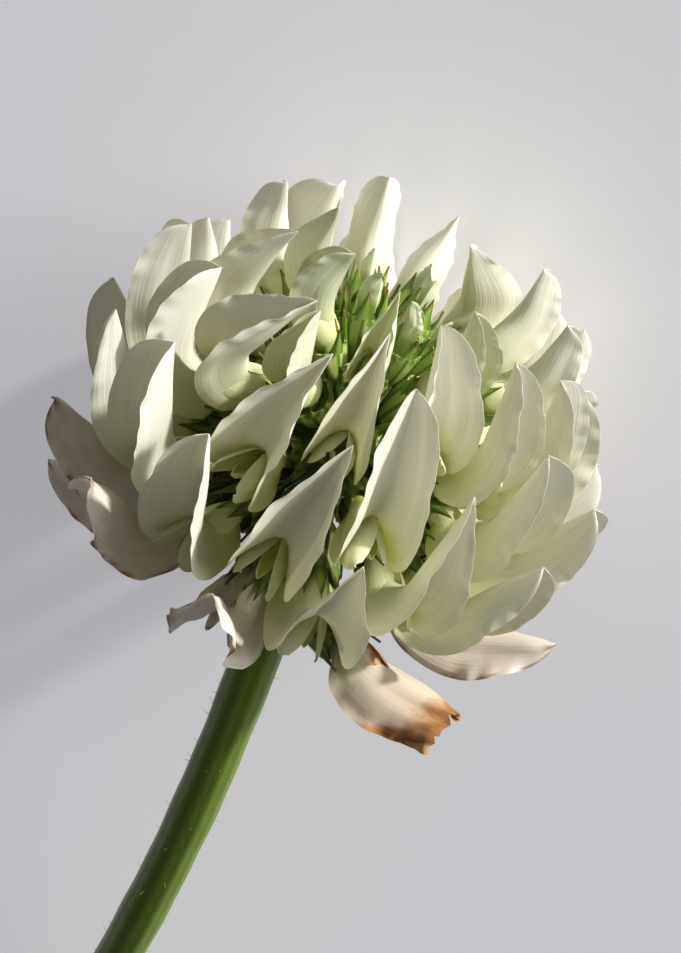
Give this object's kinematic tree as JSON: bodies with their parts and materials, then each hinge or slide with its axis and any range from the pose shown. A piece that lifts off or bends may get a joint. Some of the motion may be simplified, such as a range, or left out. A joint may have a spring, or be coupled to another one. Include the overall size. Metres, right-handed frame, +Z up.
{
  "type": "clover flower",
  "caption": "Picked white clover flower lying on its side: round head of narrow folded florets with green toothed calyces, one withered floret hanging, on a bare stalk.",
  "frame": {"origin": "middle of the bottom of the whole flower's box, on the surface that the flower lies on", "axes": "+Z up, +Y along the stalk from the head towards its cut end, crown of the head towards -Y"},
  "size_m": [0.0234, 0.0562, 0.0208],
  "materials": {
    "petal_white": "soft satin petal, white to cream, yellow-green at the foot, faint veins along it, brown edges on old ones",
    "petal_withered": "dry papery petal, beige to orange-brown, ragged brown end",
    "calyx_green": "matte leaf green with pale stripes and red-brown tooth tips",
    "stalk_green": "satin green stalk with fine ridges and a few short hairs"
  },
  "bodies": {
    "root": {"corolla_aged_49": "petal_white", "corolla_aged_50": "petal_white", "corolla_aged_51": "petal_white", "corolla_aged_52": "petal_white", "corolla_aged_53": "petal_white", "corolla_aged_54": "petal_white", "corolla_aged_55": "petal_white", "corolla_bud_01": "petal_white", "corolla_bud_02": "petal_white", "corolla_bud_03": "petal_white", "corolla_bud_04": "petal_white", "corolla_bud_05": "petal_white", "corolla_bud_06": "petal_white", "corolla_lower_39": "petal_white", "corolla_lower_40": "petal_white", "corolla_lower_41": "petal_white", "corolla_lower_42": "petal_white", "corolla_lower_43": "petal_white", "corolla_lower_44": "petal_white", "corolla_lower_45": "petal_white", "corolla_lower_46": "petal_white", "corolla_lower_47": "petal_white", "corolla_lower_48": "petal_white", "corolla_middle_12": "petal_white", "corolla_middle_26": "petal_white", "corolla_middle_27": "petal_white", "corolla_middle_28": "petal_white", "corolla_middle_29": "petal_white", "corolla_middle_30": "petal_white", "corolla_middle_31": "petal_white", "corolla_middle_32": "petal_white", "corolla_middle_33": "petal_white", "corolla_middle_34": "petal_white", "corolla_middle_35": "petal_white", "corolla_middle_36": "petal_white", "corolla_middle_37": "petal_white", "corolla_middle_38": "petal_white", "corolla_opening_16": "petal_white", "corolla_opening_17": "petal_white", "corolla_opening_18": "petal_white", "corolla_opening_19": "petal_white", "corolla_opening_20": "petal_white", "corolla_opening_21": "petal_white", "corolla_opening_25": "petal_white", "corolla_upper_13": "petal_white", "corolla_upper_14": "petal_white", "corolla_upper_15": "petal_white", "corolla_upper_22": "petal_white", "corolla_upper_23": "petal_white", "corolla_upper_24": "petal_white", "corolla_withered_56": "petal_withered", "corolla_young_07": "petal_white", "corolla_young_08": "petal_white", "corolla_young_09": "petal_white", "corolla_young_10": "petal_white", "corolla_young_11": "petal_white", "head_axis_and_calyces": "calyx_green", "stem": "stalk_green"}
  },
  "joints": []
}
